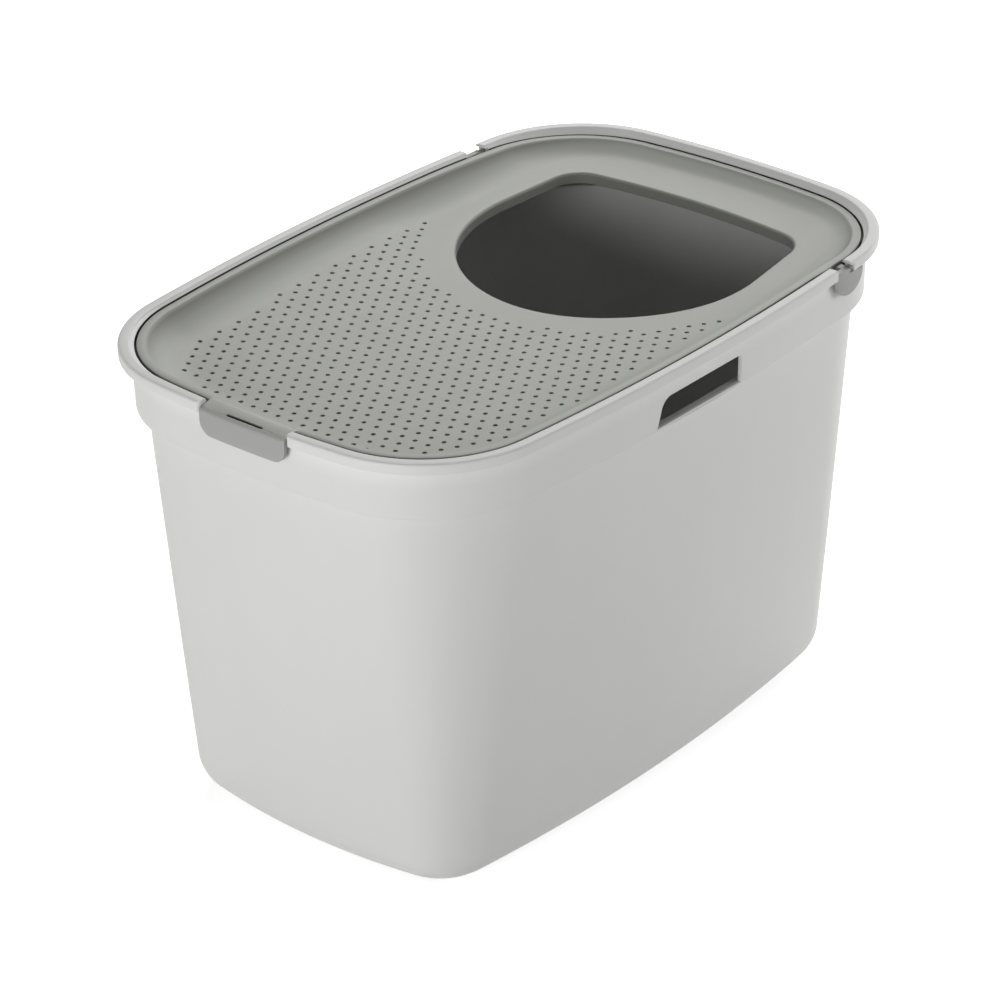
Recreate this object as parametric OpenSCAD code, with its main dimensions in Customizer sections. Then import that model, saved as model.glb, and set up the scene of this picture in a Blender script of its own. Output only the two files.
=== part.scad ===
// Top entry litter box: an open tub with a hinged, perforated lid and a latch flap.
// Millimetres, +Z up. X runs along the tub, with the entry hole towards +X and the latch at -X.

/* [Tub] */
// length over the rim
tub_l = 594; // [570:1:620]
// width over the rim
tub_w = 392; // [380:1:410]
// height to the top of the rim
tub_h = 386; // [340:1:430]
// wall thickness
wall = 3; // [2.6:0.1:3.4]
// outward bow of the sides, both long and short
bow = 19.8; // [16:0.2:24]
// corner radius of the rim
rim_r = 105.6; // [98:0.2:112]
// how far the walls lean in from rim to foot
foot_inset = 41.2; // [36:0.2:46]
// radius of the rounded bottom edge
foot_r = 32.6; // [26:0.2:36]

/* [Rim and collar] */
// height of the collar band with the rim
collar_h = 50.6; // [46:0.2:54]
// inset of the collar's outer face
collar_inset = 6.7; // [6:0.1:7.4]
// inset of the main wall just below the collar
wall_inset = 15.2; // [14:0.1:16.5]
// height of the rolled rim's outer band
rim_band = 8.9; // [8:0.1:10]
// thickness of the rolled rim
rim_t = 2.5; // [2:0.1:3]

/* [Handle holes] */
// length of each handle hole along its lower edge
handle_l = 100; // [80:1:110]
// height of each handle hole
handle_h = 22.4; // [18:0.2:22.4]
// middle of each handle hole along X
handle_x = -5; // [-40:1:40]

/* [Lid] */
// play between the rim's inner face and the lid's edge
lid_play = 2.3; // [1.8:0.1:2.8]
// top of the lid's edge bead below the rim
bead_drop = 2.1; // [1.6:0.1:3]
// extra drop of the bead at the entry end
bead_sink = 3.5; // [0:0.1:4]
// width of the flat bead
bead_w = 6.8; // [5.6:0.1:8]
// depth of the lid's floor below the rim
floor_drop = 23.2; // [21:0.1:24.6]
// width of the slope between rim and floor on the long sides and the latch end
floor_inset = 46.5; // [43:0.5:50]
// width of the slope between rim and floor at the entry end
floor_inset_far = 30; // [28:0.5:34]
// thickness of the lid
lid_t = 2.5; // [2:0.1:2.8]

/* [Entry hole] */
// radius of the hole's round end
entry_r = 125; // [112:0.5:125]
// length of the hole along the tub
entry_l = 224; // [212:0.5:226]
// distance from the rim's far end to the hole
entry_gap = 67.2; // [64:0.2:74]
// radius of the hole's two far corners
entry_corner = 27; // [20:0.5:30]
// rise of the lid's floor along the hole, in degrees
entry_tilt = 1.95; // [1.2:0.05:2.1]
// depth of the skirt round the hole
skirt_h = 9.5; // [6:0.5:14]

/* [Perforations] */
// pitch of the perforations
vent_pitch = 12.21; // [11:0.01:14]
// diameter of each perforation
vent_d = 3.8; // [3:0.1:5]
// margin of plain lid round the entry hole
vent_margin = 26.2; // [22:0.2:30]
// distance from the rim's near end to the first row
vent_start = 51.8; // [50:0.2:56]
// how far short of the entry hole's middle the rows stop
vent_stop = 52.8; // [46:0.2:60]

/* [Hinge] */
// distance from the rim's far end to the hinge axis
hinge_back = 114; // [111:0.5:118]
// hinge axis below the rim
hinge_drop = 9.5; // [9.3:0.1:11]
// radius of the half-round ears
ear_r = 17.8; // [15:0.1:17.8]
// thickness of the ears
ear_t = 2.5; // [2:0.1:2.7]
// radius of the necks that turn in the tub's wall
neck_r = 5; // [4:0.1:5.4]
// radial play of the necks in their seats
neck_play = 0.08; // [0.03:0.01:0.1]

/* [Latch] */
// width of the latch flap
latch_w = 83; // [60:1:88]
// lowest point of the flap below the rim
latch_drop = 24.4; // [22:0.2:28]
// radius of the flap's lower corners
latch_corner = 11; // [6:0.5:12]
// overlap of the flap's barb with the tub's catch
catch_grip = 1.2; // [0.8:0.1:1.4]

/* [Hidden] */
$fn = 48;
big = 900;

// number of flats on half a short side, on a corner and on half a long side
n_short = 2;
n_corner = 12;
n_long = 3;

collar_z = tub_h - collar_h;

// radii of the inner and lower outlines
collar_r = rim_r + 1.9;
inner_r = rim_r - 3.1;
wall_r = rim_r - 3.6;
low_r = rim_r - 53.6;
rim_in = collar_inset + wall;
top_round = 2.7;
top_fall = 3.2;
top_r = rim_r - rim_in + top_round;
lid_in = rim_in + lid_play;
lid_r = rim_r - 8.1;
bead_in = lid_in + bead_w;
bead_r = lid_r - bead_w;
edge = 0.6;
collar_draft = 1;
handle_up = 0.4;

// the inner step below the collar is cut back, so that the turning lid passes it
step_cut = 1.6;
fade_z = collar_z - 24;
fade = (collar_z + wall - fade_z) / (collar_z + wall - foot_r);
fade_inset = wall + wall_inset + fade * (foot_inset - wall_inset);
fade_r = wall_r - wall - fade * (wall_r - low_r);

// the lid's floor: level up to the crease, then rising towards the entry end
entry_far = tub_l / 2 - entry_gap;
entry_x = entry_far - entry_l;
entry_mid = entry_x + entry_r;
far_arc = 700;
corner_y = 91;
crease_x = entry_x - 13;
floor_z = tub_h - floor_drop;
foot_l = tub_l - floor_inset - floor_inset_far;
foot_w = tub_w - 2 * floor_inset;
foot_x = (floor_inset - floor_inset_far) / 2;
foot_corner = 62;
skirt_lap = 0.5;
lip_h = 8;
far_drop_x = 120;

// the field of perforations has bowed edges and round corners of its own
vent_edge = 1.5;
vent_grow = 0.5;
vent_corner = 45;
vent_corner_x = 4.5;
vent_corner_y = 10;
vent_side_r = 2000;
vent_end_r = 984;
vent_step = vent_pitch * sin(60);

// the slope is an arc that leaves the bead at one angle and reaches the floor at another
slope_top = 55;
slope_end = 5;

// the hinge: ears that turn in gaps of the rim, on necks in half-round seats
hinge_x = tub_l / 2 - hinge_back;
hinge_z = tub_h - hinge_drop;
ear_play = 0.7;
gap_past = 1.5;
gap_x0 = hinge_x - ear_r - ear_play;
gap_x1 = hinge_x + gap_past;
gap_in = 34;
gap_band_in = 20;
ear_inset = 1;
ear_flat = tub_h - rim_band - 0.3;
neck_l = 20;

// the latch: a flap that hangs from the lid's lip, with a barb under the tub's catch
notch_w = latch_w + 2;
notch_in = 12;
notch_round = 5;
// the bowed end's setback at the notch's side
notch_bow = notch_w * notch_w * bow / (tub_w * tub_w + 4 * bow * bow);
fold_gap = 0.4;
barb_h = 3.2;
lip_t = 2.2;
lip_lap = 1;
lip_top = tub_h - 4;
fold_x = -tub_l / 2 + 3;
fold_z = lip_top - lip_t / 2;
flap_t = 2.5;
catch_z = tub_h - 17;
catch_h = 3;
catch_w = 28;
catch_out = 2.2;
catch_play = 0.3;
slot_w = 34;
slot_l = 2;
slot_d = 1;
fold_half = 1;
// how far in from the rim's end the barb reaches
barb_out = collar_inset - catch_out + catch_grip;

c_tub = [0.80, 0.80, 0.79];
c_lid = [0.62, 0.62, 0.59];
c_latch = [0.58, 0.58, 0.56];

// a quarter of a plan outline with bowed sides and a round corner, from the short side to the long side
function quarter(l, w, r) =
    let (
        hl = l / 2,
        hw = w / 2,
        rl = (hl * hl + bow * bow) / (2 * bow),
        rs = (hw * hw + bow * bow) / (2 * bow),
        c1 = [0, hw - rl],
        c2 = [hl - rs, 0],
        dv = c2 - c1,
        dd = norm(dv),
        a = (pow(rl - r, 2) - pow(rs - r, 2) + dd * dd) / (2 * dd),
        h = sqrt(pow(rl - r, 2) - a * a),
        u = dv / dd,
        q1 = c1 + a * u + h * [-u[1], u[0]],
        q2 = c1 + a * u - h * [-u[1], u[0]],
        q = q1[0] > q2[0] ? q1 : q2,
        ts = atan2(q[1] - c2[1], q[0] - c2[0]),
        tl = atan2(q[1] - c1[1], q[0] - c1[0])
    )
    concat(
        [for (i = [0:n_short - 1]) let (t = ts * i / n_short) c2 + rs * [cos(t), sin(t)]],
        [for (i = [0:n_corner - 1]) let (t = ts + (tl - ts) * i / n_corner) q + r * [cos(t), sin(t)]],
        [for (i = [0:n_long]) let (t = tl + (90 - tl) * i / n_long) c1 + rl * [cos(t), sin(t)]]
    );

// a closed plan outline, anticlockwise seen from above
function plan(l, w, r, x = 0) =
    let (
        p = quarter(l, w, r),
        n = len(p) - 1
    )
    concat(
        [for (i = [0:n - 1]) [x + p[i][0], p[i][1]]],
        [for (i = [0:n - 1]) [x - p[n - i][0], p[n - i][1]]],
        [for (i = [0:n - 1]) [x - p[i][0], -p[i][1]]],
        [for (i = [0:n - 1]) [x + p[n - i][0], -p[n - i][1]]]
    );

// the rim's outline moved in by some inset
function inset(i, r) = plan(tub_l - 2 * i, tub_w - 2 * i, r);

function at(pts, z) = [for (p = pts) [p[0], p[1], z]];

// a solid between rings of points: outer rings upwards, then inner rings downwards
module rings(rs, closed = false) {
    m = len(rs);
    n = len(rs[0]);
    side = closed ? m : m - 1;
    polyhedron(
        points = [for (r = rs, p = r) p],
        faces = concat(
            [for (k = [0:side - 1], i = [0:n - 1])
                let (k2 = (k + 1) % m, j = (i + 1) % n) [k * n + i, k2 * n + i, k2 * n + j]],
            [for (k = [0:side - 1], i = [0:n - 1])
                let (k2 = (k + 1) % m, j = (i + 1) % n) [k * n + i, k2 * n + j, k * n + j]],
            closed ? [] : [[for (i = [0:n - 1]) i], [for (i = [0:n - 1]) m * n - 1 - i]]
        ),
        convexity = 8
    );
}

// a ring of the rounded bottom edge, at an angle from the wall
function foot_ring(t, r, i, z, c) =
    let (out = r * (1 - cos(t)))
    at(inset(i + out, c - out), z + r * (1 - sin(t)));

// a ring of the rim's round inner edge, at an angle from the flat top
function top_ring(t) =
    let (u = 1 - sin(t))
    at(inset(rim_in - top_round * u, inner_r + (top_r - inner_r) * u), tub_h - top_fall * (1 - cos(t)));

module tub_shell() {
    in_r = foot_r - wall;
    rings(concat(
        [for (t = [90:-22.5:0]) foot_ring(t, foot_r, foot_inset, 0, low_r)],
        [
            at(inset(wall_inset, wall_r), collar_z),
            at(inset(collar_inset + collar_draft, collar_r - collar_draft), collar_z),
            at(inset(collar_inset, collar_r), tub_h - rim_t),
            at(inset(rim_t, rim_r - rim_t), tub_h - rim_t),
            at(inset(rim_t, rim_r - rim_t), tub_h - rim_band),
            at(inset(edge, rim_r - edge), tub_h - rim_band),
            at(inset(0, rim_r), tub_h - rim_band + edge),
            at(inset(0, rim_r), tub_h - 2),
            at(inset(edge, rim_r - edge), tub_h - edge),
            at(inset(2, rim_r - 2), tub_h),
            top_ring(0),
            top_ring(30),
            top_ring(60),
            top_ring(90),
            at(inset(rim_in + collar_draft, inner_r - collar_draft), collar_z + wall),
            at(inset(wall_inset + wall - step_cut, wall_r - wall + step_cut), collar_z + wall),
            at(inset(fade_inset, fade_r), fade_z)
        ],
        [for (t = [0:22.5:90]) foot_ring(t, in_r, foot_inset + wall, wall, low_r - wall)]
    ));
}

// the handle hole's outline: x, and z measured from its lower edge
function handle_pts() =
    let (
        x0 = handle_x - handle_l / 2,
        x1 = handle_x + handle_l / 2,
        lean = 4,
        r1 = 12,
        r2 = 4
    )
    concat(
        [[x0, 0], [x1, 0]],
        [for (t = [0:15:90]) [x1 - r2 + r2 * cos(t), handle_h - r2 + r2 * sin(t)]],
        [for (t = [90:15:170]) [x0 + lean + r1 + r1 * cos(t), handle_h - r1 + r1 * sin(t)]]
    );

module handle_hole() {
    translate([0, big / 2, collar_z + wall + handle_up])
        rotate([90, 0, 0])
            linear_extrude(big)
                polygon(handle_pts());
}

// one gap in the rim, with the half-round seat that carries the lid's neck
module hinge_gap() {
    y0 = tub_w / 2 - gap_in;
    deep = 2 * gap_in;
    translate([gap_x0, y0, hinge_z])
        cube([gap_x1 - gap_x0, deep, 2 * hinge_drop]);
    translate([gap_x0, tub_w / 2 - gap_band_in, tub_h - rim_band - 1])
        cube([gap_x1 - gap_x0, deep, 2 * rim_band]);
    translate([gap_x0, y0, hinge_z])
        cube([hinge_x + neck_r + neck_play - gap_x0, deep, hinge_drop - rim_t]);
    translate([hinge_x, y0, hinge_z])
        rotate([-90, 0, 0])
            cylinder(r = neck_r + neck_play, h = deep);
}

// what rounds off the outer corner of a rim end, at the notch's side towards +Y
module end_round() {
    difference() {
        translate([-notch_round - 1, -1])
            square([notch_round + 1, notch_round + 1]);
        translate([0, notch_round])
            circle(notch_round);
    }
}

module latch_notch() {
    x0 = -tub_l / 2 - notch_in;
    low = tub_h - rim_band - 1;
    translate([x0, -notch_w / 2, lip_top - lip_t])
        cube([rim_in + 2 * notch_in, notch_w, rim_band]);
    translate([x0, -notch_w / 2, low])
        cube([collar_inset + notch_in - 0.3, notch_w, 2 * rim_band]);
    for (s = [0, 1])
        mirror([0, s, 0])
            translate([-tub_l / 2 + notch_round + notch_bow, notch_w / 2, low])
                linear_extrude(2 * rim_band)
                    end_round();
}

module tub() {
    color(c_tub) {
        difference() {
            tub_shell();
            handle_hole();
            hinge_gap();
            mirror([0, 1, 0])
                hinge_gap();
            latch_notch();
        }
        translate([-tub_l / 2 + collar_inset - catch_out, -catch_w / 2, catch_z - catch_h])
            cube([catch_out + wall / 2, catch_w, catch_h]);
    }
}

function ease(t) = t <= 0 ? 0 : t >= 1 ? 1 : t * t * (3 - 2 * t);

// height of the bead's top and of the floor's top at some x
function bead_z(x) = tub_h - bead_drop - bead_sink * ease((x - far_drop_x) / (tub_l / 2 - far_drop_x));
function floor_at(x) = floor_z + max(0, x - crease_x) * tan(entry_tilt);

function bead_ring(i, r, dz) = [for (p = inset(i, r)) [p[0], p[1], bead_z(p[0]) + dz]];
function foot_pts() = plan(foot_l, foot_w, foot_corner, foot_x);

// a ring on the slope, where the arc has the given angle, dropped by some thickness
function slope_ring(t, drop = 0) =
    let (
        a = inset(bead_in, bead_r),
        b = foot_pts(),
        u = (sin(slope_top) - sin(t)) / (sin(slope_top) - sin(slope_end)),
        g = (cos(t) - cos(slope_top)) / (cos(slope_end) - cos(slope_top))
    )
    [for (i = [0:len(a) - 1])
        let (x = a[i][0] + u * (b[i][0] - a[i][0]), zb = bead_z(x), zf = floor_at(b[i][0]))
            [x, a[i][1] + u * (b[i][1] - a[i][1]), zb + g * (zf - zb) - drop / cos(t)]];

module lid_frame() {
    steps = [slope_top, 43, 31, 18, slope_end];
    rings(concat(
        [
            bead_ring(lid_in, lid_r, -lip_h),
            bead_ring(lid_in, lid_r, -1),
            bead_ring(lid_in + 1, lid_r - 1, 0)
        ],
        [for (t = steps) slope_ring(t)],
        [for (i = [len(steps) - 1:-1:0]) slope_ring(steps[i], lid_t)],
        [
            bead_ring(bead_in - 1.8, bead_r + 1.8, -lid_t),
            bead_ring(lid_in + lid_t, lid_r - lid_t, -lid_t),
            bead_ring(lid_in + lid_t, lid_r - lid_t, -lip_h)
        ]
    ), closed = true);
}

function arc_pts(cx, cy, r, v0, v1, n) =
    [for (i = [0:n]) let (v = v0 + (v1 - v0) * i / n) [cx + r * cos(v), cy + r * sin(v)]];

// the entry hole's outline, grown by some offset
function entry_pts(o = 0) =
    let (
        rf = far_arc,
        cx = entry_mid,
        fy = corner_y,
        fx = entry_far - rf + sqrt(pow(rf - entry_corner, 2) - fy * fy),
        d = norm([fx - cx, fy]),
        t = atan2(fy, fx - cx) + acos((entry_r - entry_corner) / d),
        e = atan2(fy, fx - entry_far + rf)
    )
    concat(
        arc_pts(cx, 0, entry_r + o, t, 360 - t, 36),
        arc_pts(fx, -fy, entry_corner + o, -t, -e, 9),
        [for (i = [1:7]) arc_pts(entry_far - rf, 0, rf + o, -e, e, 8)[i]],
        arc_pts(fx, fy, entry_corner + o, e, t, 9)
    );

// perforations stand on a triangular lattice inside a field with bowed sides and round corners
function vented(x, y) =
    let (
        near = -tub_l / 2 + floor_inset + vent_edge,
        half = tub_w / 2 - floor_inset + vent_grow,
        qx = near + vent_corner_x + vent_corner,
        qy = half - vent_corner_y - vent_corner
    )
    abs(y) <= half - x * x / (2 * vent_side_r)
    && x >= near + y * y / (2 * vent_end_r)
    && (x > qx || abs(y) < qy || norm([x - qx, abs(y) - qy]) < vent_corner)
    && x < entry_mid - vent_stop
    && norm([x - entry_mid, y]) >= entry_r + vent_margin;

function vent_spots(x0, x1) = [
    for (a = [0:ceil(tub_l / vent_step)], b = [-ceil(tub_w / 2 / vent_pitch):ceil(tub_w / 2 / vent_pitch)])
        let (
            x = -tub_l / 2 + vent_start + a * vent_step,
            y = (b + (a % 2 == 0 ? 0 : 0.5)) * vent_pitch
        )
        if (x > x0 && x < x1 && vented(x, y)) [x, y]
];

module vents(x0, x1) {
    for (p = vent_spots(x0, x1))
        translate(p)
            circle(d = vent_d, $fn = 16);
}

// places a drawing on the rising part of the lid's floor
module on_rise() {
    translate([crease_x, 0, floor_z])
        rotate([0, -entry_tilt, 0])
            translate([-crease_x, 0, 0])
                children();
}

// the rising floor with the entry hole and its skirt
module entry_panel() {
    color(c_lid)
        on_rise() {
            translate([0, 0, -lid_t])
                linear_extrude(lid_t)
                    difference() {
                        intersection() {
                            polygon(foot_pts());
                            translate([crease_x, -big / 2])
                                square([big, big]);
                        }
                        polygon(entry_pts());
                        vents(crease_x, big);
                    }
            translate([0, 0, -skirt_h])
                linear_extrude(skirt_h - skirt_lap)
                    difference() {
                        polygon(entry_pts(lid_t));
                        polygon(entry_pts());
                    }
        }
}

// the lip that crosses the rim's notch and carries the flap
module lid_lip() {
    x0 = fold_x + fold_half + fold_gap;
    translate([x0, -latch_w / 2, lip_top - lip_t])
        cube([lid_in + lid_t + lip_lap - (x0 + tub_l / 2), latch_w, lip_t]);
}

module lid() {
    color(c_lid) {
        lid_frame();
        lid_lip();
    }
}

module vent_panel() {
    color(c_lid)
        translate([0, 0, floor_z - lid_t])
            linear_extrude(lid_t)
                difference() {
                    intersection() {
                        polygon(foot_pts());
                        translate([crease_x - big, -big / 2])
                            square([big, big]);
                    }
                    vents(-big, crease_x);
                }
}

// the flap's face, seen from outside
module flap_face() {
    h = latch_drop - (tub_h - lip_top);
    w = latch_w / 2;
    difference() {
        translate([-w, -h])
            square([2 * w, h]);
        for (s = [-1, 1])
            difference() {
                translate([s > 0 ? w - latch_corner : -w - 1, -h - 1])
                    square([latch_corner + 1, latch_corner + 1]);
                translate([s * (w - latch_corner), -h + latch_corner])
                    circle(latch_corner);
            }
    }
}

module latch_flap() {
    color(c_latch)
        difference() {
            union() {
                intersection() {
                    translate([-tub_l / 2 - 1, 0, lip_top])
                        rotate([90, 0, 90])
                            linear_extrude(rim_in)
                                flap_face();
                    difference() {
                        linear_extrude(big)
                            polygon(inset(0, rim_r));
                        linear_extrude(big)
                            polygon(inset(flap_t, rim_r - flap_t));
                    }
                }
                translate([fold_x - fold_half, -latch_w / 2, lip_top - lip_t])
                    cube([2 * fold_half, latch_w, lip_t]);
                translate([fold_x - fold_half, -catch_w / 2, catch_z - catch_h - catch_play - barb_h])
                    cube([barb_out - fold_x - tub_l / 2 + fold_half, catch_w, barb_h]);
            }
            translate([fold_x - fold_half, -slot_w / 2, lip_top - slot_d])
                cube([slot_l, slot_w, 2 * slot_d]);
        }
}

module ear() {
    y1 = tub_w / 2 - hinge_x * hinge_x * bow / (tub_l * tub_l / 4 + bow * bow) - ear_inset;
    w = 2 * ear_r;
    color(c_lid)
        difference() {
            union() {
                intersection() {
                    translate([hinge_x, y1, hinge_z])
                        rotate([90, 0, 0])
                            cylinder(r = ear_r, h = ear_t);
                    translate([hinge_x - w / 2, y1 - w / 2, ear_flat - w])
                        cube([w, w, w]);
                }
                translate([hinge_x, y1 - ear_t / 2, hinge_z])
                    rotate([90, 0, 0])
                        cylinder(r = neck_r, h = neck_l);
            }
            linear_extrude(big)
                    polygon(inset(lid_in, lid_r));
        }
}

module ear_left() {
    ear();
}

module ear_right() {
    mirror([0, 1, 0])
        ear();
}

tub();
lid();
vent_panel();
entry_panel();
latch_flap();
ear_left();
ear_right();
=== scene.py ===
import math
import bmesh
import bpy
from mathutils import Matrix, Vector
from mathutils.geometry import delaunay_2d_cdt


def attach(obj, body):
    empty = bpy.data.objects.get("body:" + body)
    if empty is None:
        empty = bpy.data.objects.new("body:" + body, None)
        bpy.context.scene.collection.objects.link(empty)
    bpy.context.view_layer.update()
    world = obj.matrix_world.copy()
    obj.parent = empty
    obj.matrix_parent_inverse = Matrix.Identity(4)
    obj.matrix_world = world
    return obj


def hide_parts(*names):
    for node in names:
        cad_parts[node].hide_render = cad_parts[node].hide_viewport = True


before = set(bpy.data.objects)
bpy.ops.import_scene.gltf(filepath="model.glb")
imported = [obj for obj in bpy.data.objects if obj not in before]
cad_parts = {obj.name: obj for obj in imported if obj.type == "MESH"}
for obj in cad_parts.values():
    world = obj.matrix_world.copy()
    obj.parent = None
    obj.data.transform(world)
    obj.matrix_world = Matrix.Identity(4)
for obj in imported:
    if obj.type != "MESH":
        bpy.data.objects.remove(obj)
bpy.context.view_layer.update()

mm = 0.001

# sizes that the tub and the lid share, in millimetres
litterBox = {
    "length": 594.0, "width": 392.0, "height": 386.0, "bow": 19.8,
    "shortSteps": 8, "cornerSteps": 30, "longSteps": 14,
}
rimTop = litterBox["height"]


def planOutline(length, width, radius, centreX=0.0):
    # a rectangle with bowed sides and round corners, anticlockwise from +X
    hl, hw, bow = length / 2, width / 2, litterBox["bow"]
    longR = (hl * hl + bow * bow) / (2 * bow)
    shortR = (hw * hw + bow * bow) / (2 * bow)
    longC, shortC = Vector((0, hw - longR)), Vector((hl - shortR, 0))
    gap = shortC - longC
    a = ((longR - radius) ** 2 - (shortR - radius) ** 2 + gap.length_squared) / (2 * gap.length)
    h = math.sqrt((longR - radius) ** 2 - a * a)
    u = gap.normalized()
    n = Vector((-u.y, u.x))
    q = max((longC + u * a + n * h, longC + u * a - n * h), key=lambda v: v.x)
    tShort = math.atan2(q.y - shortC.y, q.x - shortC.x)
    tLong = math.atan2(q.y - longC.y, q.x - longC.x)

    def arc(c, r, t0, t1, steps):
        turns = [t0 + (t1 - t0) * i / steps for i in range(steps)]
        return [(c.x + r * math.cos(t), c.y + r * math.sin(t)) for t in turns]

    p = arc(shortC, shortR, 0, tShort, litterBox["shortSteps"])
    p += arc(q, radius, tShort, tLong, litterBox["cornerSteps"])
    p += arc(longC, longR, tLong, math.pi / 2, litterBox["longSteps"])
    p.append((0.0, hw))
    n = len(p) - 1
    ring = [(x, y) for x, y in p[:n]]
    ring += [(-x, y) for x, y in reversed(p[1:])]
    ring += [(-x, -y) for x, y in p[:n]]
    ring += [(x, -y) for x, y in reversed(p[1:])]
    return [(x + centreX, y) for x, y in ring]


def insetRing(inset, radius, z):
    # z is a height or a function of x
    high = z if callable(z) else (lambda x: z)
    ring = planOutline(litterBox["length"] - 2 * inset, litterBox["width"] - 2 * inset, radius)
    return [(x, y, high(x)) for x, y in ring]


def ease(t):
    t = min(max(t, 0.0), 1.0)
    return t * t * (3 - 2 * t)


def addRing(bm, ring, shade=0.0):
    # shade is painted shade that darkens the plastic where little light gets in, and below 0 it is painted
    # light that pales it
    layer = bm.verts.layers.float.get("shade") or bm.verts.layers.float.new("shade")
    each = shade if isinstance(shade, list) else [shade] * len(ring)
    verts = [bm.verts.new((x * mm, y * mm, z * mm)) for x, y, z in ring]
    for v, value in zip(verts, each):
        v[layer] = value
    return verts


def bridge(bm, lower, upper):
    n = len(lower)
    for i in range(n):
        j = (i + 1) % n
        bm.faces.new((lower[i], lower[j], upper[j], upper[i]))


def finishMesh(bm, name, material=None):
    mesh = bpy.data.meshes.new(name)
    bm.to_mesh(mesh)
    bm.free()
    obj = bpy.data.objects.new(name, mesh)
    bpy.context.scene.collection.objects.link(obj)
    if material:
        mesh.materials.append(material)
    smooth(obj)
    return obj


def smooth(obj, sharp=32):
    obj.data.shade_smooth()
    obj.data.set_sharp_from_angle(angle=math.radians(sharp))


def prism(name, outline, low, high, axis="z", shade=0.0):
    # a block from an outline: (x, y) along z, (x, z) along y or (y, z) along x
    place = {"z": lambda a, b, c: (a, b, c), "y": lambda a, b, c: (a, c, b),
             "x": lambda a, b, c: (c, a, b)}[axis]
    return loft(name, [[place(a, b, c) for a, b in outline] for c in (low, high)], shade)


def loft(name, loops, shade=0.0):
    # a closed block through rings of points, flat at both ends
    bm = bmesh.new()
    rings = [addRing(bm, loop, shade) for loop in loops]
    for a, b in zip(rings, rings[1:]):
        bridge(bm, a, b)
    bm.faces.new(list(reversed(rings[0])))
    bm.faces.new(rings[-1])
    bmesh.ops.recalc_face_normals(bm, faces=bm.faces)
    return finishMesh(bm, name)


def softEdges(obj, width, angle=40.0):
    mod = obj.modifiers.new("softEdges", "BEVEL")
    mod.width = width * mm
    mod.segments = 2
    mod.limit_method = "ANGLE"
    mod.angle_limit = math.radians(angle)
    bake(obj)


def combine(obj, other, how="DIFFERENCE"):
    # cuts or joins one closed mesh with another and drops the second
    mod = obj.modifiers.new("combine", "BOOLEAN")
    mod.operation = how
    mod.solver = "MANIFOLD"
    mod.object = other
    bake(obj)
    bpy.data.objects.remove(other)
    return obj


def bake(obj):
    # the evaluated shape becomes the plain mesh
    bpy.context.view_layer.update()
    graph = bpy.context.evaluated_depsgraph_get()
    mesh = bpy.data.meshes.new_from_object(obj.evaluated_get(graph))
    old = obj.data
    obj.modifiers.clear()
    obj.data = mesh
    bpy.data.meshes.remove(old)


def openEdges(obj):
    bm = bmesh.new()
    bm.from_mesh(obj.data)
    count = sum(1 for e in bm.edges if len(e.link_faces) != 2)
    bm.free()
    return count


def boxOutline(x0, y0, x1, y1):
    return [(x0, y0), (x1, y0), (x1, y1), (x0, y1)]


def arcPoints(cx, cy, r, t0, t1, steps):
    turns = [math.radians(t0 + (t1 - t0) * i / steps) for i in range(steps + 1)]
    return [(cx + r * math.cos(t), cy + r * math.sin(t)) for t in turns]


def link(tree, a, b):
    tree.links.new(a, b)


grain = {
    "cloudScale": 7.0, "cloudDetail": 4.0, "patchScale": 38.0, "patchDetail": 3.0, "patchShare": 0.6,
    "fineDetail": 2.0, "fineRough": 0.6, "flowStretch": (34.0, 34.0, 3.0), "flowDetail": 5.0,
    "flowHeight": 0.5, "wearHighlightFrom": 0.52, "wearHighlightTo": 0.62, "wearRough": 0.6, "ior": 1.49,
}
grainInputs = {
    "Tone": 0.03, "Roughness": 0.45, "Rough Spread": 0.06, "Grain Scale": 900.0, "Flow": 0.02,
    "Wear And Highlight": 0.05, "Shade": 0.0,
}


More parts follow.
